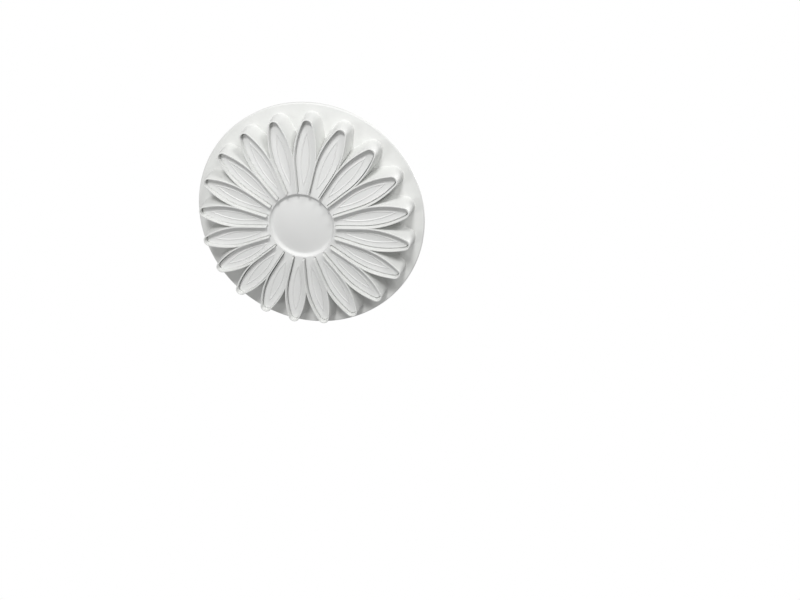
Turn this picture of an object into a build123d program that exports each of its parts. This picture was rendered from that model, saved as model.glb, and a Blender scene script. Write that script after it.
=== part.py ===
from build123d import *
import math
import os

# Plunger cutter for rolled sugar paste, in the shape of a daisy.
# A round flange carries twenty petal walls that end in one flat cutting edge. Inside the walls a
# veining plate is pushed down by a sprung knob: it presses its veins into the paste and then
# pushes the cut flower out.
# Millimetres. Z = 0 is the plane of the cutting edges, +Z points to the knob, the origin is the
# middle of the flower and +X runs along the middle of one petal.

# Flower, as the cutting edges draw it
petal_count = 20
flower_radius = 52.5
petal_tip_round = 2.8
petal_straight = 29.5
petal_wall = 0.6
wall_foot_spread = 1.75
blade_thickness = 0.6
blade_inner_radius = 17.3
cut_depth = 11.2

# Flange
flange_radius = 58.0
flange_thickness = 3.0
flange_edge_round = 0.7
web_thickness = 2.2
lip_width = 2.4
lip_round = 0.35

# Collar and its ribs
collar_height = 12.5
collar_wall = 3.0
collar_top_round = 0.8
collar_foot_round = 2.0
rib_count = 10
rib_thickness = 1.8
rib_height = 7.0
rib_reach = 17.0
rib_tip_height = 0.8

# Stem and the sleeve that guides it
stem_radius = 4.0
stem_chamfer = 0.5
running_gap = 0.1
glue_gap = 0.05
sleeve_wall = 1.5
sleeve_height = 8.0

# Veining plate
plate_recess = 2.6
plate_push_past = 2.0
plate_thickness = 3.2
plate_gap = 0.2
plate_tip_gap = 0.2
dish_radius = 16.2
dish_depth = 1.6
dish_dome = 1.2
hub_radius = 8.0
hub_socket_depth = 3.6
vein_inner_radius = 21.5
vein_outer_radius = 46.2
vein_half_width = 1.9
vein_line_width = 0.7
vein_line_height = 0.3

# Return spring
wire_diameter = 1.0
spring_clearance = 1.2
spring_turns = 6
spring_bend_angle = math.radians(30)
spring_bend_rise = 2.2
spring_groove_depth = 4.4
spring_groove_gap = 0.3
spring_measure_steps = 24

# Push knob
knob_radius = 18.0
knob_foot_radius = 15.6
knob_height = 12.6
knob_crown_drop = 1.0
knob_crown_round = 5.0
knob_foot_round = 0.6
knob_wall = 2.2
knob_boss_wall = 1.2
knob_hollow_depth = 9.0
knob_roof = 1.8
knob_stop_gap = 0.4

# Knob cap and the screw under it
cap_radius = 8.0
cap_thickness = 1.4
cap_edge_round = 0.3
cap_gap = 0.1
screw_radius = 1.5
screw_length = 10.0
screw_head_radius = 3.2
screw_head_height = 2.0
screw_head_round = 0.6
screw_head_gap = 0.3
screw_slot_width = 0.9
screw_slot_depth = 1.0
screw_slot_reach = 1.9

# How far each cut runs past the face it starts from
overrun = 1.0

# Heights and radii that follow
travel = plate_recess + plate_push_past
flange_back = cut_depth + flange_thickness
web_back = cut_depth + web_thickness
collar_top = web_back + collar_height
knob_under = collar_top + travel + knob_stop_gap
knob_top = knob_under + knob_height
cap_seat = knob_top - cap_thickness
screw_seat = cap_seat - screw_head_height - screw_head_gap
screw_foot = screw_seat - screw_length
stem_top = screw_seat - knob_roof
plate_back = plate_recess + plate_thickness
stem_foot = cut_depth - hub_socket_depth
stem_bore_radius = stem_radius + running_gap
sleeve_radius = stem_bore_radius + sleeve_wall
spring_inner_radius = sleeve_radius + spring_clearance
spring_radius = spring_inner_radius + wire_diameter / 2
spring_outer_radius = spring_radius + wire_diameter / 2
spring_bore_radius = spring_outer_radius + spring_clearance
collar_radius = spring_bore_radius + collar_wall
spring_low = web_back
spring_high = knob_under + spring_groove_depth
spring_rise = spring_high - spring_low - 2 * (wire_diameter + spring_bend_rise)
half_pitch = math.radians(180 / petal_count)
petal_pitch = 360 / petal_count


def beside_blade(along, inward):
    """Point beside the blade at a petal's +Y side, measured along the blade and in from its middle."""
    return Vector(
        along * math.cos(half_pitch) + inward * math.sin(half_pitch),
        along * math.sin(half_pitch) - inward * math.cos(half_pitch),
    )


def mirrored(point):
    """The same point on the other side of the petal."""
    return Vector(point.X, -point.Y)


def arc_between(start, end, centre, radius):
    """Shorter arc from start to end round a centre."""
    middle = ((start - centre) + (end - centre)).normalized() * radius + centre
    return ThreePointArc(start, middle, end)


def petal_side(inward, tip_centre, tip_round):
    """Centre and radius of the arc that touches the line beside the blade and the tip's round."""
    rise = tip_centre * math.sin(half_pitch) - inward
    run = petal_straight - tip_centre * math.cos(half_pitch)
    radius = (run ** 2 + rise ** 2 - tip_round ** 2) / (2 * (rise - tip_round))
    return beside_blade(petal_straight, inward + radius), radius


def petal_end(start, centre, radius, tip_centre, tip_round):
    """A petal's two side arcs and its tip, from start on the +Y side round to its mirror."""
    tip_middle = Vector(tip_centre, 0)
    tip_start = tip_middle + (tip_middle - centre).normalized() * tip_round
    side = arc_between(start, tip_start, centre, radius)
    tip = ThreePointArc(tip_start, Vector(tip_centre + tip_round, 0), mirrored(tip_start))
    other_side = arc_between(mirrored(start), mirrored(tip_start), mirrored(centre), radius)
    return [side, tip, other_side]


def round_the_flower(edges):
    """Face inside one petal's edges and their copies round the axis."""
    copies = [
        edge.rotate(Axis.Z, petal_pitch * number)
        for number in range(petal_count)
        for edge in edges
    ]
    return Face(Wire(copies))


def flower_outside(spread):
    """Outline of the walls' outside, grown by a spread: neighbouring petals meet in a notch."""
    inward = blade_thickness / 2 - petal_wall - spread
    tip_centre = flower_radius - petal_tip_round
    tip_round = petal_tip_round + spread
    centre, radius = petal_side(inward, tip_centre, tip_round)
    notch = petal_straight + math.sqrt(radius ** 2 - (radius + inward) ** 2)
    return round_the_flower(
        petal_end(beside_blade(notch, 0), centre, radius, tip_centre, tip_round)
    )


def flower_with_slots(gap, tip_gap, tip_round):
    """Outline of the petals inside their walls, joined in the middle, with a slot for each blade."""
    inward = blade_thickness / 2 + gap
    tip_centre = flower_radius - petal_tip_round - tip_gap
    centre, radius = petal_side(inward, tip_centre, tip_round)
    blade_end = blade_inner_radius + blade_thickness / 2
    foot = beside_blade(blade_end, inward)
    start = beside_blade(petal_straight, inward)
    next_foot = beside_blade(blade_end, -inward)
    edges = petal_end(start, centre, radius, tip_centre, tip_round)
    edges.append(Line(foot, start))
    edges.append(Line(mirrored(foot), mirrored(start)))
    edges.append(ThreePointArc(foot, beside_blade(blade_end - inward, 0), next_foot))
    return round_the_flower(edges)


def turned(points, rounds):
    """Solid of revolution of an outline of radius and height; rounds maps a corner to its radius."""
    profile = make_face(Polyline(*points, close=True))
    for corner, radius in rounds.items():
        spot = Vector(*points[corner])
        nearest = min(profile.vertices(), key=lambda vertex: (Vector(vertex) - spot).length)
        profile = fillet([nearest], radius)
    return revolve(Plane.XZ * profile, Axis.Z, 360)


def raised(face, low, high):
    """Solid of a flat outline between two heights."""
    return Pos(0, 0, low) * extrude(face, high - low, dir=(0, 0, 1))


def disc(radius, low, high):
    """Round disc or rod on the axis between two heights."""
    return raised(Circle(radius), low, high)


def flange_and_collar():
    lip_inner = flange_radius - lip_width
    points = [
        (stem_bore_radius, cut_depth),
        (flange_radius, cut_depth),
        (flange_radius, flange_back),
        (lip_inner, flange_back),
        (lip_inner, web_back),
        (collar_radius, web_back),
        (collar_radius, collar_top),
        (spring_bore_radius, collar_top),
        (spring_bore_radius, web_back),
        (sleeve_radius, web_back),
        (sleeve_radius, web_back + sleeve_height),
        (stem_bore_radius, web_back + sleeve_height),
    ]
    rounds = {
        1: flange_edge_round,
        2: flange_edge_round,
        3: lip_round,
        4: lip_round,
        5: collar_foot_round,
        6: collar_top_round,
        7: collar_top_round / 2,
    }
    return turned(points, rounds)


def stiffening_rib():
    """One rib from the collar out over the back of the flange, along +X."""
    inside = collar_radius - collar_wall / 2
    outside = collar_radius + rib_reach
    outline = Polyline(
        (inside, web_back - web_thickness / 2),
        (outside, web_back - web_thickness / 2),
        (outside, web_back + rib_tip_height),
        (inside, web_back + rib_height),
        close=True,
    )
    return extrude(Plane.XZ * make_face(outline), rib_thickness / 2, both=True)


def petal_walls():
    """Thin walls round the petals: upright inside, and spreading outside from the cutting edge."""
    foot = Pos(0, 0, cut_depth) * flower_outside(wall_foot_spread)
    wells = flower_with_slots(0, 0, petal_tip_round - petal_wall)
    return loft([flower_outside(0), foot], ruled=True) - raised(wells, -overrun, cut_depth)


def make_cutter_body():
    body = flange_and_collar() + petal_walls()
    rib = stiffening_rib()
    ribs = [rib.rotate(Axis.Z, 360 / rib_count * number) for number in range(rib_count)]
    return body + ribs


def vein_face(offset):
    """Pointed oval of one petal's vein line, grown by an offset."""
    middle = (vein_inner_radius + vein_outer_radius) / 2
    half_length = (vein_outer_radius - vein_inner_radius) / 2
    radius = (half_length ** 2 + vein_half_width ** 2) / (2 * vein_half_width)
    below = radius - vein_half_width
    reach = math.sqrt((radius + offset) ** 2 - below ** 2)
    side = vein_half_width + offset
    upper = ThreePointArc((middle - reach, 0), (middle, side), (middle + reach, 0))
    lower = ThreePointArc((middle - reach, 0), (middle, -side), (middle + reach, 0))
    return make_face(Wire([upper, lower]))


def vein_line():
    """Raised line round one petal's oval, standing down from the plate's face."""
    ring = vein_face(vein_line_width / 2) - vein_face(-vein_line_width / 2)
    return raised(ring, plate_recess - vein_line_height, plate_recess)


def dish_cutter():
    """Cutter for the shallow dish in the plate's middle, with a coved rim and a domed floor."""
    floor = plate_recess + dish_depth
    floor_radius = dish_radius - dish_depth
    dome_radius = (floor_radius ** 2 + dish_dome ** 2) / (2 * dish_dome)
    dome_lean = math.asin(floor_radius / dome_radius) / 2
    dome_middle = (
        dome_radius * math.sin(dome_lean),
        floor - dish_dome + dome_radius * (1 - math.cos(dome_lean)),
    )
    cove_reach = dish_depth * math.sin(math.pi / 4)
    below = plate_recess - overrun
    edges = [
        ThreePointArc((0, floor - dish_dome), dome_middle, (floor_radius, floor)),
        ThreePointArc(
            (floor_radius, floor),
            (floor_radius + cove_reach, plate_recess + cove_reach),
            (dish_radius, plate_recess),
        ),
        Line((dish_radius, plate_recess), (dish_radius, below)),
        Line((dish_radius, below), (0, below)),
        Line((0, below), (0, floor - dish_dome)),
    ]
    return revolve(Plane.XZ * Face(Wire(edges)), Axis.Z, 360)


def make_veining_plate():
    outline = flower_with_slots(plate_gap, plate_tip_gap, petal_tip_round - petal_wall)
    plate = raised(outline, plate_recess, plate_back)
    plate -= dish_cutter()
    plate += disc(hub_radius, plate_back - dish_depth / 2, cut_depth)
    plate -= disc(stem_radius + glue_gap, stem_foot, cut_depth + overrun)
    vein = vein_line()
    veins = [vein.rotate(Axis.Z, petal_pitch * number) for number in range(petal_count)]
    return plate + veins


def make_plunger_stem():
    stem = disc(stem_radius, stem_foot, stem_top)
    stem = chamfer(stem.edges().filter_by(GeomType.CIRCLE), stem_chamfer)
    return stem - disc(screw_radius + glue_gap, screw_foot, stem_top + overrun)


def spring_point(angle, height):
    """Point on the spring's middle line."""
    return Vector(spring_radius * math.cos(angle), spring_radius * math.sin(angle), height)


def spring_way(angle):
    """Direction of the even curls at an angle."""
    rise = spring_rise / (2 * math.pi * spring_turns * spring_radius)
    return Vector(-math.sin(angle), math.cos(angle), rise).normalized()


def biarc(start, start_way, end, end_way):
    """Two arcs that leave start along start_way and come to end along end_way."""
    span = end - start
    pull = span.dot(start_way + end_way)
    spread = 2 * (1 - start_way.dot(end_way))
    reach = (math.sqrt(pull ** 2 + spread * span.dot(span)) - pull) / spread
    first_corner = start + start_way * reach
    second_corner = end - end_way * reach
    joint = (first_corner + second_corner) / 2
    joint_way = (second_corner - first_corner).normalized()
    return [
        TangentArc(start, joint, tangent=start_way),
        TangentArc(joint, end, tangent=joint_way),
    ]


def spring_path():
    """The wire's middle line: a straight end, a bend, even curls, a bend and a straight end."""
    up = Vector(0, 0, 1)
    last_angle = 2 * math.pi * spring_turns
    foot = spring_point(-spring_bend_angle, spring_low + wire_diameter)
    head = spring_point(last_angle + spring_bend_angle, spring_high - wire_diameter)
    first = spring_point(0, spring_low + wire_diameter + spring_bend_rise)
    last = spring_point(last_angle, spring_high - wire_diameter - spring_bend_rise)
    edges = [Line(foot - up * wire_diameter, foot)]
    edges += biarc(foot, up, first, spring_way(0))
    quarters = 4 * spring_turns
    point = first
    for quarter in range(quarters):
        share = (quarter + 1) / quarters
        next_point = spring_point(last_angle * share, first.Z + (last.Z - first.Z) * share)
        edges += biarc(
            point,
            spring_way(last_angle * quarter / quarters),
            next_point,
            spring_way(last_angle * share),
        )
        point = next_point
    edges += biarc(last, spring_way(last_angle), head, up)
    edges.append(Line(head, head + up * wire_diameter))
    return Wire(edges)


def least_self_gap(path):
    """Least clear distance between stretches of the wire that lie more than half a turn apart."""
    steps = spring_turns * spring_measure_steps
    points = [path.position_at(step / steps) for step in range(steps + 1)]
    apart = spring_measure_steps // 2
    least = min(
        (points[i] - points[j]).length
        for i in range(len(points))
        for j in range(i + apart, len(points))
    )
    return least - wire_diameter


def make_return_spring():
    path = spring_path()
    print("return spring least self gap", round(least_self_gap(path), 2), "mm")
    section = Plane(origin=path.position_at(0), z_dir=(0, 0, 1)) * Circle(wire_diameter / 2)
    return sweep(section, path=path)


def make_push_knob():
    socket_radius = stem_radius + glue_gap
    groove_inner = spring_inner_radius - spring_groove_gap
    groove_outer = spring_outer_radius + spring_groove_gap
    groove_top = knob_under + spring_groove_depth
    boss_radius = groove_outer + knob_boss_wall
    hollow_radius = knob_foot_radius - knob_wall
    hollow_top = knob_under + knob_hollow_depth
    head_hole_radius = screw_head_radius + screw_head_gap
    screw_hole_radius = screw_radius + running_gap
    points = [
        (socket_radius, knob_under),
        (groove_inner, knob_under),
        (groove_inner, groove_top),
        (groove_outer, groove_top),
        (groove_outer, knob_under),
        (boss_radius, knob_under),
        (boss_radius, hollow_top),
        (hollow_radius, hollow_top),
        (hollow_radius, knob_under),
        (knob_foot_radius, knob_under),
        (knob_radius, knob_top - knob_crown_drop),
        (cap_radius + cap_gap, knob_top),
        (cap_radius + cap_gap, cap_seat),
        (head_hole_radius, cap_seat),
        (head_hole_radius, screw_seat),
        (screw_hole_radius, screw_seat),
        (screw_hole_radius, stem_top),
        (socket_radius, stem_top),
    ]
    rounds = {8: knob_foot_round / 2, 9: knob_foot_round, 10: knob_crown_round, 11: cap_edge_round}
    return turned(points, rounds)


def make_knob_screw():
    head = disc(screw_head_radius, screw_seat, screw_seat + screw_head_height)
    rim = head.edges().filter_by(GeomType.CIRCLE).sort_by(Axis.Z)[-1]
    head = fillet([rim], screw_head_round)
    slot_low = screw_seat + screw_head_height - screw_slot_depth
    for turn in (0, 90):
        blade = Box(2 * screw_slot_reach, screw_slot_width, 2 * screw_slot_depth)
        head -= Pos(0, 0, slot_low + screw_slot_depth) * blade.rotate(Axis.Z, turn)
    return head + disc(screw_radius, screw_foot, screw_seat)


def make_knob_cap():
    cap = disc(cap_radius, cap_seat, knob_top)
    rim = cap.edges().filter_by(GeomType.CIRCLE).sort_by(Axis.Z)[-1]
    return fillet([rim], cap_edge_round)


nodes = {
    "cutter_body": make_cutter_body,
    "veining_plate": make_veining_plate,
    "plunger_stem": make_plunger_stem,
    "return_spring": make_return_spring,
    "push_knob": make_push_knob,
    "knob_screw": make_knob_screw,
    "knob_cap": make_knob_cap,
}

os.makedirs("parts", exist_ok=True)
for name, make in nodes.items():
    export_step(make(), os.path.join("parts", name + ".step"))
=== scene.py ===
import math

import bmesh
import bpy
from bpy.props import FloatProperty, FloatVectorProperty, IntProperty, PointerProperty
from bpy.types import Operator, Panel, PropertyGroup
from mathutils import Matrix, Vector


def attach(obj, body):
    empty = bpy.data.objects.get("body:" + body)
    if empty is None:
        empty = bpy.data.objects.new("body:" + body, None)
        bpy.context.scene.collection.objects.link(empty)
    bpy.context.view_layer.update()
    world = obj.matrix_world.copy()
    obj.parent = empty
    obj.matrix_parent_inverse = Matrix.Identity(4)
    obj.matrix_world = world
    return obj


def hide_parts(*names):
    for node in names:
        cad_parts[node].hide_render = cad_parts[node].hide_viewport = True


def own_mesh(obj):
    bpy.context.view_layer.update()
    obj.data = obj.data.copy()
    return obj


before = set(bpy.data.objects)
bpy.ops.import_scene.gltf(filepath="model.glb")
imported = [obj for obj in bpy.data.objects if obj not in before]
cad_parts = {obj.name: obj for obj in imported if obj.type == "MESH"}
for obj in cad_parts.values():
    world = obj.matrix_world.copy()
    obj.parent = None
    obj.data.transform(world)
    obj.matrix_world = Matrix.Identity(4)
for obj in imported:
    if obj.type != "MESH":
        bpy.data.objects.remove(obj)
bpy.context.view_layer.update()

bl_info = {
    "name": "Daisy Plunger Cutter",
    "version": (1, 0, 0),
    "blender": (4, 5, 0),
    "location": "View3D > Sidebar > Cutter",
    "description": "Builds a moulded plunger cutter and its studio stage",
    "category": "Object",
}

MM = 0.001

# Points of a piece that are closer than this become one
MERGE = 0.002 * MM

# Steps of the round stretches, each on the edge, side or turn that it is named for
SIDE_STEPS = 20
TIP_STEPS = 9
NOSE_STEPS = 5
EDGE_STEPS = 4
FOOT_STEPS = 6
CORNER_STEPS = 5
RIB_EDGE_STEPS = 3
FLOOR_STEPS = 14
COVE_STEPS = 8
VEIN_STEPS = 10
VEIN_SIDE_STEPS = 24
HUB_STEPS = 96
ROUND_STEPS = 180
WIRE_SIDES = 12
COIL_STEPS = 48

# Angle between faces, in degrees, from which their edge shows as sharp
CREASE = 35
WIRE_CREASE = 60

# Noise in the plastic and on the steel: its scale per metre and its detail
CLOUD_NOISE = (45, 4)
SHEEN_NOISE = (160, 5)
SKIN_NOISE = (1400, 3)
DRAWING_NOISE = (900, 4)
DRAWING_STRETCH = (1, 1, 6)

# Relief of the plastic's skin and of the steel's drawing marks
SKIN_DEPTH = 0.01 * MM
SKIN_STRENGTH = 0.35
DRAWING_DEPTH = 0.02 * MM
DRAWING_STRENGTH = 0.3

# Share of the noise that runs from one value or colour to the other
VALUE_SPAN = (0.3, 0.7)
COLOUR_SPAN = (0.35, 0.65)

PLASTIC_IOR = 1.49
FLOOR_ROUGHNESS = 0.8

# Camera's sensor in millimetres, and the nearest and farthest that it sees in metres
SENSOR_WIDTH = 36
VIEW_RANGE = (0.01, 20)


def length(label, text, millimetres):
    """Size that is given in millimetres and kept in metres."""
    return FloatProperty(
        name=label, description=text, default=millimetres * MM, min=0, unit="LENGTH", precision=5
    )


def power(label, text, watts):
    """Power of a light."""
    return FloatProperty(name=label, description=text, default=watts, min=0, unit="POWER")


def place(label, text, metres):
    """Place in the scene, in metres."""
    return FloatVectorProperty(
        name=label, description=text, default=metres, size=3, subtype="XYZ", unit="LENGTH",
        precision=5,
    )


def roughness(label, text, low, high):
    """Least and most roughness of a finish."""
    return FloatVectorProperty(
        name=label, description=text, default=(low, high), size=2, min=0, max=1
    )


def colour(label, text, value):
    """Colour property."""
    return FloatVectorProperty(
        name=label, description=text, default=value, size=3, min=0, max=1, subtype="COLOR"
    )


class FlowerSizes(PropertyGroup):
    """Petal walls as the cutting edges draw them."""

    petal_count: IntProperty(
        name="Petals", description="Petals round the flower", default=20, min=3
    )
    radius: length("Flower radius", "Middle of the flower to the outside of a petal's tip", 52.5)
    tip_round: length("Tip round", "Outside radius of a petal's tip", 2.8)
    straight: length("Straight run", "How far out the blades run straight", 29.5)
    wall: length("Wall", "Thickness of a petal's wall at the edge", 0.6)
    blade: length("Blade", "Thickness of the blade between two petals", 0.6)
    blade_inner_radius: length("Blade start", "Middle of the flower to the blades' inner ends", 17.3)
    cut_depth: length("Cut depth", "Cutting edge to the face of the flange", 11.2)
    land_round: length("Edge round", "Round along both sides of the cutting edge", 0.16)
    foot_spread: length("Foot spread", "How far the walls' outside spreads towards the flange", 1.75)
    foot_round: length("Foot round", "Round where the walls run out on the flange", 0.1)
    sink: length("Wall sink", "How deep the walls reach into the flange", 0.55)


class BackSizes(PropertyGroup):
    """Flange, collar and ribs."""

    flange_radius: length("Flange radius", "Middle to the flange's edge", 58.0)
    flange_thickness: length("Flange thickness", "At the edge", 3.0)
    edge_round: length("Edge round", "Round on both sides of the flange's edge", 0.7)
    web_thickness: length("Web thickness", "Inside the flange's lip", 2.2)
    lip_width: length("Lip width", "Raised lip round the back of the flange", 2.4)
    lip_round: length("Lip round", "Round on the lip's inside", 0.35)
    stem_bore_radius: length("Stem bore radius", "Bore that guides the stem", 4.1)
    sleeve_radius: length("Sleeve radius", "Outside of the stem's sleeve", 5.6)
    sleeve_height: length("Sleeve height", "Above the web", 8.0)
    spring_bore_radius: length("Spring bore radius", "Inside of the collar", 9.0)
    collar_radius: length("Collar radius", "Outside of the collar", 12.0)
    collar_height: length("Collar height", "Above the web", 12.5)
    collar_top_round: length("Collar top round", "Round on the collar's outer top edge", 0.8)
    collar_inner_round: length("Collar inner round", "Round on its inner top edge", 0.4)
    collar_foot_round: length("Collar foot round", "Fillet between collar and web", 2.0)
    rib_count: IntProperty(name="Ribs", description="Ribs round the collar", default=10, min=1)
    rib_thickness: length("Rib thickness", "At the rib's foot", 1.8)
    rib_draft: length("Rib draft", "How much thinner each rib is at its top", 0.5)
    rib_height: length("Rib height", "At the collar", 7.0)
    rib_tip_height: length("Rib tip height", "At the rib's outer end", 0.8)
    rib_reach: length("Rib reach", "Out from the collar", 17.0)
    rib_round: length("Rib round", "Round along the ribs' edges", 0.3)
    rib_sink: length("Rib sink", "How deep the ribs reach into the web", 1.1)


class PlateSizes(PropertyGroup):
    """Veining plate inside the petal walls."""

    recess: length("Recess", "Cutting edge to the face of the plate at rest", 2.6)
    thickness: length("Thickness", "Plate thickness", 3.2)
    gap: length("Gap", "Clearance to the petal walls", 0.2)
    tip_gap: length("Tip gap", "Clearance at the petals' tips", 0.2)
    turn: FloatProperty(
        name="Turn", description="How far the plate has turned in its play",
        default=math.radians(-0.18), subtype="ANGLE",
    )
    edge_round: length("Edge round", "Round along the face's edge", 0.3)
    dish_radius: length("Dish radius", "Dish in the middle", 16.2)
    dish_depth: length("Dish depth", "At the dish's rim", 1.6)
    dish_dome: length("Dish dome", "How far the dish's floor swells out in its middle", 1.2)
    dish_rim_round: length("Dish rim round", "Round along the dish's rim", 0.25)
    hub_radius: length("Hub radius", "Hub behind the plate", 8.0)
    hub_sink: length("Hub sink", "How deep the hub reaches into the plate", 0.8)
    stem_hole_radius: length("Stem hole radius", "Socket for the stem", 4.05)
    stem_hole_low: length("Stem hole bottom", "Height of the socket's bottom", 7.6)
    vein_inner: length("Vein start", "Middle to the inner point of a vein", 21.5)
    vein_outer: length("Vein end", "Middle to the outer point of a vein", 46.2)
    vein_half_width: length("Vein half width", "Half the width of a vein's oval", 1.9)
    vein_line_width: length("Vein line width", "Width of the raised line at its foot", 0.9)
    vein_line_height: length("Vein line height", "How far the line stands off the plate", 0.3)


class SpringSizes(PropertyGroup):
    """Return spring between the flange and the knob."""

    radius: length("Spring radius", "Middle of the wire", 7.3)
    wire: length("Wire", "Wire diameter", 1.0)
    low: length("Bottom", "Height of the spring's seat on the flange", 13.4)
    high: length("Top", "Height of the spring's seat in the knob", 35.3)
    turns: IntProperty(name="Turns", description="Open turns of the spring", default=6, min=1)
    end_rise: length("End rise", "Rise of the closed turn at each end", 1.04)
    travel: length("Travel", "How far the knob is pressed", 4.6)


class Finish(PropertyGroup):
    """Colours and roughness of the mouldings and the metal."""

    body: colour("Body", "White plastic of the cutter", (0.775, 0.78, 0.765))
    body_shade: colour("Body shade", "Slightly greyer patches of it", (0.75, 0.757, 0.74))
    body_roughness: roughness("Body roughness", "Soft gloss", 0.50, 0.64)
    plate: colour("Plate", "White plastic of the veining plate", (0.775, 0.778, 0.77))
    plate_shade: colour("Plate shade", "Slightly greyer patches of it", (0.75, 0.755, 0.745))
    plate_roughness: roughness("Plate roughness", "Soft gloss", 0.46, 0.60)
    knob: colour("Knob", "White plastic of the knob", (0.79, 0.795, 0.78))
    knob_shade: colour("Knob shade", "Slightly greyer patches of it", (0.765, 0.772, 0.755))
    knob_roughness: roughness("Knob roughness", "Gloss of a handled face", 0.30, 0.44)
    steel: colour("Steel", "Spring wire and screw", (0.62, 0.62, 0.60))
    steel_shade: colour("Steel shade", "Darker drawing marks on the steel", (0.42, 0.42, 0.41))
    steel_roughness: roughness("Steel roughness", "Bright to dull drawing marks", 0.22, 0.38)


def quarter_turn(steps):
    """Angles from none to a quarter turn, with both ends."""
    return [math.pi / 2 * step / steps for step in range(steps + 1)]


def arc(centre, start, end, steps):
    """Points from start to end round a centre, the short way, with both ends."""
    radius = (start - centre).length
    first = math.atan2(start.y - centre.y, start.x - centre.x)
    last = math.atan2(end.y - centre.y, end.x - centre.x)
    turn = (last - first + math.pi) % (2 * math.pi) - math.pi
    angles = [first + turn * step / steps for step in range(steps + 1)]
    return [centre + radius * Vector((math.cos(a), math.sin(a))) for a in angles]


def mirrored(points):
    """The same points on a petal's other side, in the order that goes on from them."""
    return [Vector((point.x, -point.y)) for point in reversed(points)]


def beside_blade(flower, along, inward):
    """Point beside the blade at a petal's +Y side, along it and in from its middle."""
    half = math.pi / flower.petal_count
    return Vector((
        along * math.cos(half) + inward * math.sin(half),
        along * math.sin(half) - inward * math.cos(half),
    ))


def petal_side(flower, inward, tip_centre, tip_round):
    """Centre and radius of the arc that runs from the blade into the tip's round."""
    half = math.pi / flower.petal_count
    rise = tip_centre * math.sin(half) - inward
    run = flower.straight - tip_centre * math.cos(half)
    radius = (run ** 2 + rise ** 2 - tip_round ** 2) / (2 * (rise - tip_round))
    return beside_blade(flower, flower.straight, inward + radius), radius


def petal_end(centre, start, tip_centre, tip_round):
    """Points from start on a petal's +Y side to the middle of its tip."""
    tip_middle = Vector((tip_centre, 0))
    tip_start = tip_middle + (tip_middle - centre).normalized() * tip_round
    side = arc(centre, start, tip_start, SIDE_STEPS)
    tip = arc(tip_middle, tip_start, Vector((tip_centre + tip_round, 0)), TIP_STEPS)
    return side[:-1] + tip


def well_outline(flower, inward, tip_centre, tip_round):
    """Points round the inside of a petal, from the middle of one blade's end to the next's."""
    blade_end = flower.blade_inner_radius + flower.blade / 2
    foot = beside_blade(flower, blade_end, inward)
    nose = beside_blade(flower, blade_end - inward, 0)
    centre, radius = petal_side(flower, inward, tip_centre, tip_round)
    start = beside_blade(flower, flower.straight, inward)
    half = arc(beside_blade(flower, blade_end, 0), nose, foot, NOSE_STEPS)
    half += petal_end(centre, start, tip_centre, tip_round)
    return half + mirrored(half[:-1])


def outside_outline(flower, offset):
    """Points round the outside of one petal, offset from the wall's inside face."""
    inward = flower.blade / 2 - offset
    tip_centre = flower.radius - flower.tip_round
    tip_round = flower.tip_round - flower.wall + offset
    centre, radius = petal_side(flower, inward, tip_centre, tip_round)
    notch = flower.straight + math.sqrt(radius ** 2 - (radius + inward) ** 2)
    half = petal_end(centre, beside_blade(flower, notch, 0), tip_centre, tip_round)
    return half + mirrored(half[:-1])


def at_height(points, height):
    """Flat points lifted to a height."""
    return [Vector((point.x, point.y, height)) for point in points]


def loft(bm, rows):
    """Sheet of faces through rows of points that all have the same number of points."""
    sheet = bmesh.ops.create_grid(
        bm, x_segments=len(rows[0]) - 1, y_segments=len(rows) - 1, size=1
    )
    points = [point for row in rows for point in row]
    for vert, point in zip(sheet["verts"], points, strict=True):
        vert.co = point


def repeat_round(bm, count):
    """Copies of everything so far, evenly round the axis."""
    bmesh.ops.spin(
        bm,
        geom=bm.verts[:] + bm.edges[:] + bm.faces[:],
        cent=(0, 0, 0),
        axis=(0, 0, 1),
        dvec=(0, 0, 0),
        angle=2 * math.pi * (count - 1) / count,
        steps=count - 1,
        use_duplicate=True,
    )


def close_at(bm, height):
    """Flat faces over the open edges at a height."""
    rim = [
        edge for edge in bm.edges
        if edge.is_boundary and all(abs(vert.co.z - height) < MERGE for vert in edge.verts)
    ]
    bmesh.ops.triangle_fill(bm, use_beauty=True, edges=rim)


def rounded(points, rounds):
    """Outline with arcs for some corners; rounds maps a corner's number to its radius."""
    outline = []
    for number, (x, y) in enumerate(points):
        corner = Vector((x, y))
        if number not in rounds:
            outline.append(corner)
            continue
        to_last = (Vector(points[number - 1]) - corner).normalized()
        to_next = (Vector(points[(number + 1) % len(points)]) - corner).normalized()
        half = to_last.angle(to_next) / 2
        reach = rounds[number] / math.tan(half)
        middle = corner + (to_last + to_next).normalized() * rounds[number] / math.sin(half)
        start, end = corner + to_last * reach, corner + to_next * reach
        outline += arc(middle, start, end, CORNER_STEPS)
    return outline


def turned(bm, outline, steps, closed=True):
    """Outline of radius and height, spun round the axis, on which an open one may end."""
    verts = [bm.verts.new((point.x, 0, point.y)) for point in outline]
    ends = verts[1:] + verts[:1] if closed else verts[1:]
    edges = [bm.edges.new(pair) for pair in zip(verts, ends)]
    bmesh.ops.spin(
        bm,
        geom=verts + edges,
        cent=(0, 0, 0),
        axis=(0, 0, 1),
        dvec=(0, 0, 0),
        angle=2 * math.pi,
        steps=steps,
        use_merge=True,
    )


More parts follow.
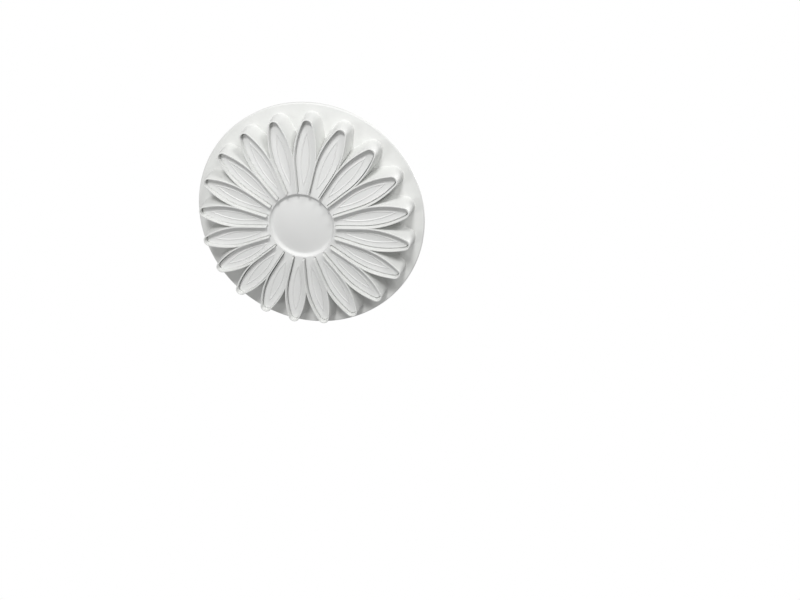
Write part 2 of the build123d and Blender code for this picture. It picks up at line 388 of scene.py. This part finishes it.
def finished(name, bm, material, body, nodes, crease=CREASE):
    """Object from the closed shells in a bmesh, riding on a body in place of its CAD nodes."""
    bmesh.ops.remove_doubles(bm, verts=bm.verts[:], dist=MERGE)
    bmesh.ops.recalc_face_normals(bm, faces=bm.faces[:])
    mesh = bpy.data.meshes.new(name)
    bm.to_mesh(mesh)
    bm.free()
    mesh.polygons.foreach_set("use_smooth", [True] * len(mesh.polygons))
    mesh.set_sharp_from_angle(angle=math.radians(crease))
    mesh.materials.append(material)
    piece = bpy.data.objects.new(name, mesh)
    bpy.context.scene.collection.objects.link(piece)
    even = piece.modifiers.new("even shading", "WEIGHTED_NORMAL")
    even.keep_sharp = True
    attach(piece, body)
    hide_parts(*nodes)
    return piece


def shader_tree(name):
    """New material with its node tree, its shader and the object's own coordinates."""
    material = bpy.data.materials.new(name)
    material.use_nodes = True
    tree = material.node_tree
    shader = tree.nodes["Principled BSDF"]
    coordinates = tree.nodes.new("ShaderNodeTexCoord")
    return material, tree, shader, coordinates.outputs["Object"]


def noise(tree, surface, scale, detail, stretch=(1, 1, 1)):
    """Noise factor over the object, with a stretch along its axes."""
    mapping = tree.nodes.new("ShaderNodeMapping")
    mapping.inputs["Scale"].default_value = stretch
    texture = tree.nodes.new("ShaderNodeTexNoise")
    texture.inputs["Scale"].default_value = scale
    texture.inputs["Detail"].default_value = detail
    tree.links.new(surface, mapping.inputs["Vector"])
    tree.links.new(mapping.outputs["Vector"], texture.inputs["Vector"])
    return texture.outputs["Fac"]


def between(tree, factor, span, low, high):
    """Value that runs from low to high while a factor runs through a span."""
    mapped = tree.nodes.new("ShaderNodeMapRange")
    mapped.inputs["From Min"].default_value = span[0]
    mapped.inputs["From Max"].default_value = span[1]
    mapped.inputs["To Min"].default_value = low
    mapped.inputs["To Max"].default_value = high
    tree.links.new(factor, mapped.inputs["Value"])
    return mapped.outputs["Result"]


def two_tone(tree, factor, first, second):
    """Colour between two colours with a factor."""
    ramp = tree.nodes.new("ShaderNodeValToRGB")
    for stop, position, tone in zip(ramp.color_ramp.elements, COLOUR_SPAN, (first, second)):
        stop.position = position
        stop.color = (*tone, 1)
    tree.links.new(factor, ramp.inputs["Fac"])
    return ramp.outputs["Color"]


def bumped(tree, shader, height, distance, strength):
    """Relief on a shader from a height factor."""
    bump = tree.nodes.new("ShaderNodeBump")
    bump.inputs["Distance"].default_value = distance
    bump.inputs["Strength"].default_value = strength
    tree.links.new(height, bump.inputs["Height"])
    tree.links.new(bump.outputs["Normal"], shader.inputs["Normal"])


def moulded_plastic(name, tone, shade, roughness_range):
    """White injection moulded plastic: faint cloudiness, uneven gloss and a fine skin."""
    material, tree, shader, surface = shader_tree(name)
    cloud = noise(tree, surface, *CLOUD_NOISE)
    sheen = between(tree, noise(tree, surface, *SHEEN_NOISE), VALUE_SPAN, *roughness_range)
    tree.links.new(two_tone(tree, cloud, tone, shade), shader.inputs["Base Color"])
    tree.links.new(sheen, shader.inputs["Roughness"])
    bumped(tree, shader, noise(tree, surface, *SKIN_NOISE), SKIN_DEPTH, SKIN_STRENGTH)
    shader.inputs["IOR"].default_value = PLASTIC_IOR
    return material


def drawn_steel(name, tone, shade, roughness_range):
    """Bright steel with fine drawing marks."""
    material, tree, shader, surface = shader_tree(name)
    marks = noise(tree, surface, *DRAWING_NOISE, DRAWING_STRETCH)
    sheen = between(tree, marks, VALUE_SPAN, *roughness_range)
    tree.links.new(two_tone(tree, marks, tone, shade), shader.inputs["Base Color"])
    tree.links.new(sheen, shader.inputs["Roughness"])
    bumped(tree, shader, marks, DRAWING_DEPTH, DRAWING_STRENGTH)
    shader.inputs["Metallic"].default_value = 1
    return material


def material_of(kind):
    """The object's material of one kind, made the first time it is asked for."""
    finish = bpy.context.scene.cutter_finish
    if kind in bpy.data.materials:
        return bpy.data.materials[kind]
    make, tone, shade, roughness_range = {
        "cutter white": (
            moulded_plastic, finish.body, finish.body_shade, finish.body_roughness
        ),
        "plate white": (
            moulded_plastic, finish.plate, finish.plate_shade, finish.plate_roughness
        ),
        "knob white": (
            moulded_plastic, finish.knob, finish.knob_shade, finish.knob_roughness
        ),
        "spring and screw steel": (
            drawn_steel, finish.steel, finish.steel_shade, finish.steel_roughness
        ),
    }[kind]
    return make(kind, tone, shade, roughness_range)


class CUTTER_OT_body(Operator):
    """Cutter body: petal walls, flange, collar and ribs"""

    bl_idname = "cutter.body"
    bl_label = "Cutter Body"

    def execute(self, context):
        flower = context.scene.cutter_flower
        back = context.scene.cutter_back
        bm = bmesh.new()
        buried = flower.cut_depth + flower.sink
        self.walls(bm, flower, buried)
        repeat_round(bm, flower.petal_count)
        bmesh.ops.remove_doubles(bm, verts=bm.verts[:], dist=MERGE)
        close_at(bm, 0)
        close_at(bm, buried)
        self.flange(bm, flower, back)
        self.ribs(bm, flower, back)
        finished(
            "cutter_body_moulding", bm, material_of("cutter white"),
            "cutter", ["cutter_body"],
        )
        return {"FINISHED"}

    def walls(self, bm, flower, buried):
        """One petal's wall: upright inside, rounded edge, and an outside that spreads."""
        edge = flower.land_round
        quarter = quarter_turn(EDGE_STEPS)
        tip_centre = flower.radius - flower.tip_round
        inside = []
        for turn in quarter:
            offset, height = edge * (1 - math.sin(turn)), edge * (1 - math.cos(turn))
            outline = well_outline(
                flower, flower.blade / 2 - offset, tip_centre,
                flower.tip_round - flower.wall + offset,
            )
            inside.append(at_height(outline, height))
        inside.append(at_height(outline, buried))
        loft(bm, inside)
        outside = []
        for turn in quarter:
            offset = flower.wall - edge * (1 - math.sin(turn))
            outside.append(
                at_height(outside_outline(flower, offset), edge * (1 - math.cos(turn)))
            )
        foot = flower.foot_round
        for turn in quarter_turn(FOOT_STEPS):
            height = flower.cut_depth - foot * (1 - math.sin(turn))
            spread = flower.foot_spread * height / flower.cut_depth
            offset = flower.wall + spread + foot * (1 - math.cos(turn))
            outside.append(at_height(outside_outline(flower, offset), height))
        outside.append(at_height(outside_outline(flower, offset), buried))
        loft(bm, outside)

    def flange(self, bm, flower, back):
        """Flange with its lip, collar and stem sleeve."""
        front = flower.cut_depth
        rim = front + back.flange_thickness
        web = front + back.web_thickness
        lip = back.flange_radius - back.lip_width
        points = [
            (back.stem_bore_radius, front),
            (back.flange_radius, front),
            (back.flange_radius, rim),
            (lip, rim),
            (lip, web),
            (back.collar_radius, web),
            (back.collar_radius, web + back.collar_height),
            (back.spring_bore_radius, web + back.collar_height),
            (back.spring_bore_radius, web),
            (back.sleeve_radius, web),
            (back.sleeve_radius, web + back.sleeve_height),
            (back.stem_bore_radius, web + back.sleeve_height),
        ]
        rounds = {
            1: back.edge_round,
            2: back.edge_round,
            3: back.lip_round,
            4: back.lip_round,
            5: back.collar_foot_round,
            6: back.collar_top_round,
            7: back.collar_inner_round,
        }
        turned(bm, rounded(points, rounds), ROUND_STEPS)

    def ribs(self, bm, flower, back):
        """Tapered ribs between the collar and the web."""
        web = flower.cut_depth + back.web_thickness
        inside = (back.spring_bore_radius + back.collar_radius) / 2
        outside = back.collar_radius + back.rib_reach
        ribs = bmesh.new()
        bmesh.ops.create_cube(ribs, size=1)
        for vert in ribs.verts:
            outer = vert.co.x > 0
            upper = vert.co.z > 0
            height = back.rib_tip_height if outer else back.rib_height
            thickness = back.rib_thickness - (back.rib_draft if upper else 0)
            vert.co = (
                outside if outer else inside,
                math.copysign(thickness / 2, vert.co.y),
                web + height if upper else web - back.rib_sink,
            )
        soft = [
            edge for edge in ribs.edges
            if all(vert.co.z > web for vert in edge.verts)
            or all(vert.co.x > inside + back.rib_reach for vert in edge.verts)
        ]
        bmesh.ops.bevel(
            ribs, geom=soft, offset=back.rib_round, offset_type="OFFSET",
            affect="EDGES", segments=RIB_EDGE_STEPS, profile=0.5, material=-1,
        )
        repeat_round(ribs, back.rib_count)
        append(bm, ribs)


def append(bm, other):
    """Moves everything in one bmesh into another."""
    mesh = bpy.data.meshes.new("part")
    other.to_mesh(mesh)
    other.free()
    bm.from_mesh(mesh)
    bpy.data.meshes.remove(mesh)


class CUTTER_OT_plate(Operator):
    """Veining plate: petals with raised vein lines, dish and hub"""

    bl_idname = "cutter.plate"
    bl_label = "Veining Plate"

    def execute(self, context):
        flower = context.scene.cutter_flower
        plate = context.scene.cutter_plate
        back_face = plate.recess + plate.thickness
        bm = bmesh.new()
        self.edge(bm, flower, plate)
        repeat_round(bm, flower.petal_count)
        bmesh.ops.remove_doubles(bm, verts=bm.verts[:], dist=MERGE)
        self.dish(bm, plate)
        close_at(bm, plate.recess)
        close_at(bm, back_face)
        self.hub(bm, flower, plate)
        veins = bmesh.new()
        self.vein(veins, plate)
        repeat_round(veins, flower.petal_count)
        append(bm, veins)
        bmesh.ops.rotate(
            bm, verts=bm.verts[:], cent=(0, 0, 0), matrix=Matrix.Rotation(plate.turn, 3, "Z")
        )
        finished(
            "veining_plate_moulding", bm, material_of("plate white"),
            "plunger", ["veining_plate"],
        )
        return {"FINISHED"}

    def edge(self, bm, flower, plate):
        """Side of one petal of the plate, with its rounded front edge."""
        tip_centre = flower.radius - flower.tip_round - plate.tip_gap
        rows = []
        for turn in quarter_turn(EDGE_STEPS):
            inset = plate.edge_round * (1 - math.sin(turn))
            outline = well_outline(
                flower, flower.blade / 2 + plate.gap + inset, tip_centre,
                flower.tip_round - flower.wall - inset,
            )
            rows.append(at_height(outline, plate.recess + plate.edge_round * (1 - math.cos(turn))))
        rows.append(at_height(outline, plate.recess + plate.thickness))
        loft(bm, rows)

    def dish(self, bm, plate):
        """Dish with a rounded rim, a coved side and a floor that swells a little."""
        face = plate.recess
        floor = face + plate.dish_depth
        rim = plate.dish_rim_round
        floor_radius = plate.dish_radius - plate.dish_depth
        swell = (floor_radius ** 2 + plate.dish_dome ** 2) / (2 * plate.dish_dome)
        outline = arc(
            Vector((0, floor - plate.dish_dome + swell)),
            Vector((0, floor - plate.dish_dome)),
            Vector((floor_radius, floor)),
            FLOOR_STEPS,
        )
        outline += arc(
            Vector((floor_radius, face)),
            Vector((floor_radius, floor)),
            Vector((floor_radius + math.sqrt(plate.dish_depth ** 2 - rim ** 2), face + rim)),
            COVE_STEPS,
        )[1:]
        last = outline[-1]
        outline += arc(
            Vector((last.x + rim, face + rim)),
            last,
            Vector((last.x + rim, face)),
            EDGE_STEPS,
        )[1:]
        turned(bm, outline, ROUND_STEPS, closed=False)
        bmesh.ops.remove_doubles(bm, verts=bm.verts[:], dist=MERGE)

    def hub(self, bm, flower, plate):
        """Hub behind the plate with the stem's socket."""
        low = plate.recess + plate.thickness - plate.hub_sink
        points = [
            Vector((0, low)),
            Vector((plate.hub_radius, low)),
            Vector((plate.hub_radius, flower.cut_depth)),
            Vector((plate.stem_hole_radius, flower.cut_depth)),
            Vector((plate.stem_hole_radius, plate.stem_hole_low)),
            Vector((0, plate.stem_hole_low)),
        ]
        turned(bm, points, HUB_STEPS, closed=False)

    def vein(self, bm, plate):
        """Raised line with soft sides round one petal's pointed oval."""
        middle = (plate.vein_inner + plate.vein_outer) / 2
        half_length = (plate.vein_outer - plate.vein_inner) / 2
        half_width = plate.vein_half_width
        radius = (half_length ** 2 + half_width ** 2) / (2 * half_width)
        below = radius - half_width
        buried = plate.recess + plate.edge_round
        rows = []
        profile = [(0.5, buried)]
        for step in range(VEIN_STEPS + 1):
            share = 0.5 - step / VEIN_STEPS
            lift = plate.vein_line_height * (1 + math.cos(2 * math.pi * share)) / 2
            profile.append((share, plate.recess - lift))
        profile.append((-0.5, buried))
        profile.append(profile[0])
        for share, height in profile:
            offset = share * plate.vein_line_width
            reach = math.sqrt((radius + offset) ** 2 - below ** 2)
            upper = arc(
                Vector((middle, -below)), Vector((middle + reach, 0)),
                Vector((middle - reach, 0)), VEIN_SIDE_STEPS,
            )
            rows.append(at_height(upper + mirrored(upper)[1:], height))
        loft(bm, rows)


class CUTTER_OT_spring(Operator):
    """Return spring: even open turns between two closed end turns"""

    bl_idname = "cutter.spring"
    bl_label = "Return Spring"

    def execute(self, context):
        spring = context.scene.cutter_spring
        bm = bmesh.new()
        ring = bmesh.ops.create_circle(
            bm, segments=WIRE_SIDES, radius=spring.wire / 2, cap_ends=True
        )["verts"]
        for vert in ring:
            vert.co = (spring.radius + vert.co.x, 0, spring.low + spring.wire / 2 + vert.co.y)
        geom = ring + list({edge for vert in ring for edge in vert.link_edges})
        rise = spring.high - spring.low - spring.wire
        end_rise = spring.end_rise
        for turns, height in ((1, end_rise), (spring.turns, rise - 2 * end_rise), (1, end_rise)):
            steps = COIL_STEPS * turns
            geom = bmesh.ops.spin(
                bm, geom=geom, cent=(0, 0, 0), axis=(0, 0, 1), dvec=(0, 0, height / steps),
                angle=2 * math.pi * turns, steps=steps, use_merge=False,
            )["geom_last"]
            geom = [item for item in geom if not isinstance(item, bmesh.types.BMFace)]
        ends = [edge for edge in bm.edges if edge.is_boundary]
        bmesh.ops.holes_fill(bm, edges=ends, sides=0)
        piece = finished(
            "return_spring_wire", bm, material_of("spring and screw steel"),
            "cutter", ["return_spring"], WIRE_CREASE,
        )
        height = spring.high - spring.low
        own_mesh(piece)
        return {"FINISHED"}


class CUTTER_OT_plunger(Operator):
    """Finish of the stem, the knob, its cap and its screw"""

    bl_idname = "cutter.plunger"
    bl_label = "Stem and Knob Finish"

    def execute(self, context):
        finishes = {
            "plunger_stem": "plate white",
            "push_knob": "knob white",
            "knob_cap": "knob white",
            "knob_screw": "spring and screw steel",
            "cutter_body": "cutter white",
            "veining_plate": "plate white",
            "return_spring": "spring and screw steel",
        }
        for node, kind in finishes.items():
            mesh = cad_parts[node].data
            mesh.materials.clear()
            mesh.materials.append(material_of(kind))
        return {"FINISHED"}


class StageSettings(PropertyGroup):
    """Lights, floor and camera of the stage."""

    key_power: power("Key power", "Light from the picture's upper side", 2.05)
    key_place: place("Key place", "Where the key light stands", (-0.284, -0.345, -0.401))
    key_size: length("Key size", "Width of the key light", 120)
    side_power: power("Side power", "Low light from the picture's upper right", 1.02)
    side_place: place("Side place", "Where the side light stands", (-0.09, -0.541, -0.244))
    side_size: length("Side size", "Width of the side light", 160)
    front_power: power("Front power", "Weak light in front of the petals", 0.36)
    front_place: place("Front place", "Where the front light stands", (-0.178, 0.181, -0.544))
    front_size: length("Front size", "Width of the front light", 80)
    above_power: power("Above power", "Light on the back of the cutter", 6)
    above_place: place("Above place", "Where the light above stands", (0.25, -0.45, 0.75))
    above_size: length("Above size", "Width of the light above", 500)
    fill: FloatProperty(
        name="Fill", description="Strength of the light all round", default=0.31, min=0
    )
    floor: colour("Floor", "Pale studio floor", (0.86, 0.86, 0.86))
    floor_reach: length("Floor reach", "Middle of the floor to its sides", 3000)
    fade_start: length("Fade start", "Distance at which the floor starts to fade", 150)
    fade_end: length("Fade end", "Distance at which the floor has faded", 900)
    lens: FloatProperty(
        name="Lens", description="Focal length", default=24.2621, min=1, unit="CAMERA"
    )
    shift: FloatVectorProperty(
        name="Shift", description="How far the picture's middle is off the lens's",
        default=(0.12, -0.105), size=2,
    )
    camera_place: place(
        "Camera place", "Where the camera stands", (-0.0137941, -0.1164373, -0.2308886)
    )
    camera_turn: FloatVectorProperty(
        name="Camera turn", description="How the camera is turned",
        default=[math.radians(angle) for angle in (158.98122, -14.97741, -39.79479)],
        size=3, subtype="EULER", unit="ROTATION",
    )


class CUTTER_OT_stage(Operator):
    """Stage: camera, soft lights, pale floor and pale surroundings"""

    bl_idname = "cutter.stage"
    bl_label = "Stage"

    def execute(self, context):
        stage = context.scene.cutter_stage
        context.scene.view_settings.view_transform = "Standard"
        self.camera(context, stage)
        for name in ("key", "side", "front", "above"):
            self.light(
                context, name, getattr(stage, name + "_place"), getattr(stage, name + "_size"),
                getattr(stage, name + "_power"),
            )
        self.floor(context, stage)
        self.surroundings(context, stage)
        return {"FINISHED"}

    def camera(self, context, stage):
        """Camera under the cutter, looking up at its cutting side."""
        data = bpy.data.cameras.new("camera")
        data.lens = stage.lens
        data.sensor_width = SENSOR_WIDTH
        data.shift_x, data.shift_y = stage.shift
        data.clip_start, data.clip_end = VIEW_RANGE
        camera = bpy.data.objects.new("camera", data)
        camera.location = stage.camera_place
        camera.rotation_euler = stage.camera_turn
        context.scene.collection.objects.link(camera)
        context.scene.camera = camera

    def light(self, context, name, position, size, watts):
        """Soft square light that points at the middle of the cutter."""
        data = bpy.data.lights.new(name, "AREA")
        data.size = size
        data.energy = watts
        lamp = bpy.data.objects.new(name, data)
        lamp.location = position
        lamp.rotation_euler = Vector(position).to_track_quat("Z", "Y").to_euler()
        lamp.visible_camera = False
        context.scene.collection.objects.link(lamp)

    def floor(self, context, stage):
        """Pale floor under the cutting edges that fades out far away, clear from below."""
        bm = bmesh.new()
        bmesh.ops.create_grid(bm, x_segments=1, y_segments=1, size=stage.floor_reach)
        mesh = bpy.data.meshes.new("floor")
        bm.to_mesh(mesh)
        bm.free()
        floor = bpy.data.objects.new("floor", mesh)
        context.scene.collection.objects.link(floor)
        material, tree, shader, surface = shader_tree("pale floor")
        shader.inputs["Base Color"].default_value = (*stage.floor, 1)
        shader.inputs["Roughness"].default_value = FLOOR_ROUGHNESS
        distance = tree.nodes.new("ShaderNodeVectorMath")
        distance.operation = "LENGTH"
        tree.links.new(surface, distance.inputs[0])
        reach = (stage.fade_start, stage.fade_end)
        fade = between(tree, distance.outputs["Value"], reach, 0, 1)
        side = tree.nodes.new("ShaderNodeNewGeometry")
        unseen = tree.nodes.new("ShaderNodeMath")
        unseen.operation = "MAXIMUM"
        tree.links.new(side.outputs["Backfacing"], unseen.inputs[0])
        tree.links.new(fade, unseen.inputs[1])
        clear = tree.nodes.new("ShaderNodeBsdfTransparent")
        mix = tree.nodes.new("ShaderNodeMixShader")
        tree.links.new(unseen.outputs["Value"], mix.inputs["Fac"])
        tree.links.new(shader.outputs["BSDF"], mix.inputs[1])
        tree.links.new(clear.outputs["BSDF"], mix.inputs[2])
        tree.links.new(mix.outputs["Shader"], tree.nodes["Material Output"].inputs["Surface"])
        mesh.materials.append(material)
        floor.visible_diffuse = False
        floor.visible_glossy = False
        floor.visible_shadow = False

    def surroundings(self, context, stage):
        """White surroundings that light the cutter less than they show."""
        world = bpy.data.worlds.new("surroundings")
        world.use_nodes = True
        context.scene.world = world
        tree = world.node_tree
        shown = tree.nodes["Background"]
        shown.inputs["Color"].default_value = (1, 1, 1, 1)
        soft = tree.nodes.new("ShaderNodeBackground")
        soft.inputs["Color"].default_value = (1, 1, 1, 1)
        soft.inputs["Strength"].default_value = stage.fill
        path = tree.nodes.new("ShaderNodeLightPath")
        mix = tree.nodes.new("ShaderNodeMixShader")
        tree.links.new(path.outputs["Is Camera Ray"], mix.inputs["Fac"])
        tree.links.new(soft.outputs["Background"], mix.inputs[1])
        tree.links.new(shown.outputs["Background"], mix.inputs[2])
        tree.links.new(mix.outputs["Shader"], tree.nodes["World Output"].inputs["Surface"])


class CUTTER_PT_sidebar(Panel):
    """Sizes, colours and pieces of the cutter"""

    bl_idname = "CUTTER_PT_sidebar"
    bl_label = "Plunger Cutter"
    bl_space_type = "VIEW_3D"
    bl_region_type = "UI"
    bl_category = "Cutter"

    def draw(self, context):
        layout = self.layout
        for operator in operators:
            layout.operator(operator.bl_idname)
        for name in groups:
            settings = getattr(context.scene, name)
            box = layout.box()
            box.label(text=type(settings).__name__)
            for key in type(settings).__annotations__:
                box.prop(settings, key)


groups = {
    "cutter_flower": FlowerSizes,
    "cutter_back": BackSizes,
    "cutter_plate": PlateSizes,
    "cutter_spring": SpringSizes,
    "cutter_finish": Finish,
    "cutter_stage": StageSettings,
}
operators = (
    CUTTER_OT_stage,
    CUTTER_OT_body,
    CUTTER_OT_plate,
    CUTTER_OT_spring,
    CUTTER_OT_plunger,
)


def register():
    for kind in (*groups.values(), *operators, CUTTER_PT_sidebar):
        bpy.utils.register_class(kind)
    for name, kind in groups.items():
        setattr(bpy.types.Scene, name, PointerProperty(type=kind))


def unregister():
    for name in groups:
        delattr(bpy.types.Scene, name)
    for kind in (CUTTER_PT_sidebar, *reversed(operators), *reversed(groups.values())):
        bpy.utils.unregister_class(kind)


def main():
    register()
    bpy.ops.cutter.stage()
    bpy.ops.cutter.body()
    bpy.ops.cutter.plate()
    bpy.ops.cutter.spring()
    bpy.ops.cutter.plunger()


if __name__ == "__main__":
    main()
